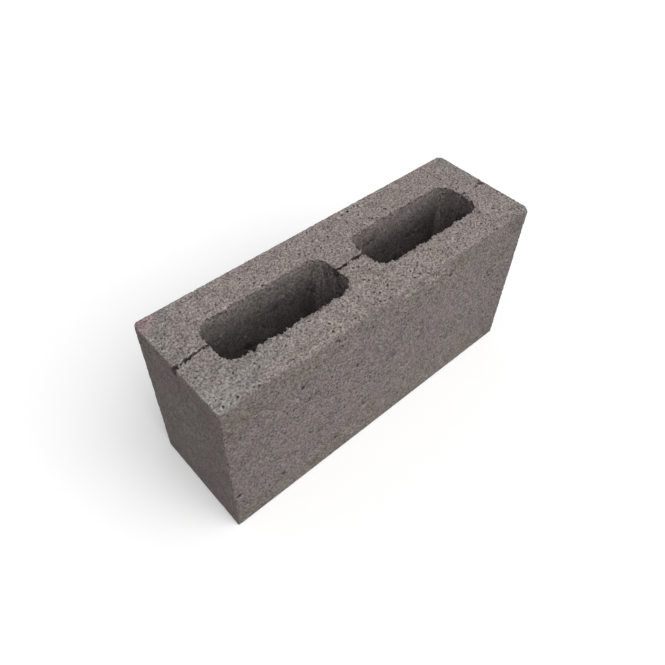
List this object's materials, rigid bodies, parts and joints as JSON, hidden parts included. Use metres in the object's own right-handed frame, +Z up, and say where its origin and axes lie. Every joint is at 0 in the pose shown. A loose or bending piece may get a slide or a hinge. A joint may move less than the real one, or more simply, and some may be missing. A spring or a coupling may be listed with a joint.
{
  "type": "hollow concrete block",
  "caption": "Hollow concrete walling block: a rectangular casting with tapered slot cores passing right through it and a core-bar groove across its top webs.",
  "frame": {"origin": "centre of the bottom bed face, which the block stands on", "axes": "+X along the length, +Y across the width, +Z up, towards the grooved top bed face"},
  "size_m": [0.44, 0.14, 0.215],
  "materials": {
    "concrete": "matte"
  },
  "bodies": {
    "root": {"concrete_block": "concrete"}
  },
  "joints": []
}
